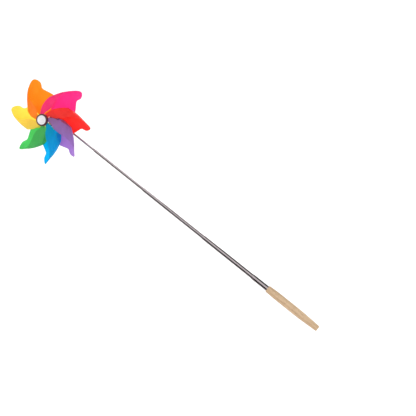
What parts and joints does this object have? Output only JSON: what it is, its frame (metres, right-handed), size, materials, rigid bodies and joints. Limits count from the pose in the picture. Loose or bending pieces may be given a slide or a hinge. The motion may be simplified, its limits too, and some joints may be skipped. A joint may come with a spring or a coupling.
{
  "type": "pinwheel",
  "caption": "Hand-held wind spinner with curled translucent rainbow blades on a telescopic chrome rod with a turned wooden handle.",
  "frame": {"origin": "centre of the flat rear end of the wooden handle", "axes": "+Z along the rod from the handle to the wheel; -Y out of the front of the wheel, along its axle; +X to the right seen from the front"},
  "size_m": [0.1141, 0.0546, 0.4997],
  "materials": {
    "beech_wood": "bare sanded beech",
    "chrome_tube": "bright chrome plate",
    "chrome_fitting": "bright chrome plate",
    "brass": "bright rolled brass",
    "steel": "bright drawn steel",
    "clear_nylon": "natural nylon",
    "dark_plastic": "glossy moulded plastic, dark maroon",
    "white_plastic": "glossy moulded plastic, white",
    "sheet_orange": "translucent glossy plastic sheet",
    "sheet_pink": "translucent glossy plastic sheet",
    "sheet_red": "translucent glossy plastic sheet",
    "sheet_purple": "translucent glossy plastic sheet",
    "sheet_blue": "translucent glossy plastic sheet",
    "sheet_green": "translucent glossy plastic sheet",
    "sheet_yellow": "translucent glossy plastic sheet"
  },
  "bodies": {
    "handle_body": {"handle": "beech_wood", "tube_1": "chrome_tube"},
    "section_2": {"tube_2": "chrome_tube", "sleeve_2": "brass"},
    "section_3": {"tube_3": "chrome_tube", "sleeve_3": "brass"},
    "section_4": {"tube_4": "chrome_tube", "sleeve_4": "brass"},
    "swivel_sleeve": {"sleeve_5": "brass"},
    "section_5": {"tube_5": "chrome_tube", "tip_fitting": "chrome_fitting", "axle_pin": "steel", "push_nut": "steel", "rear_washer": "clear_nylon", "front_washer": "clear_nylon"},
    "wheel": {"hub_barrel": "dark_plastic", "rear_hub": "dark_plastic", "front_hub": "dark_plastic", "button_cap": "white_plastic", "blade_orange": "sheet_orange", "blade_pink": "sheet_pink", "blade_red": "sheet_red", "blade_purple": "sheet_purple", "blade_blue": "sheet_blue", "blade_green": "sheet_green", "blade_yellow": "sheet_yellow"}
  },
  "joints": [
    {"name": "slide_2", "type": "slide", "parent": "handle_body", "child": "section_2", "axis": [0, 0, 1], "range_m": [-0.0768, 0.014]},
    {"name": "slide_3", "type": "slide", "parent": "section_2", "child": "section_3", "axis": [0, 0, 1], "range_m": [-0.0964, 0.001]},
    {"name": "slide_4", "type": "slide", "parent": "section_3", "child": "section_4", "axis": [0, 0, 1], "range_m": [-0.0802, 0.021]},
    {"name": "slide_5", "type": "slide", "parent": "section_4", "child": "swivel_sleeve", "axis": [0, 0, 1], "range_m": [-0.058, 0.038]},
    {"name": "swivel", "type": "hinge", "parent": "swivel_sleeve", "child": "section_5", "pos_m": [0, 0, 0.334], "axis": [0, 0, 1], "continuous": true},
    {"name": "wheel_spin", "type": "hinge", "parent": "section_5", "child": "wheel", "pos_m": [0, 0, 0.4436], "axis": [0, -1, 0], "continuous": true}
  ]
}
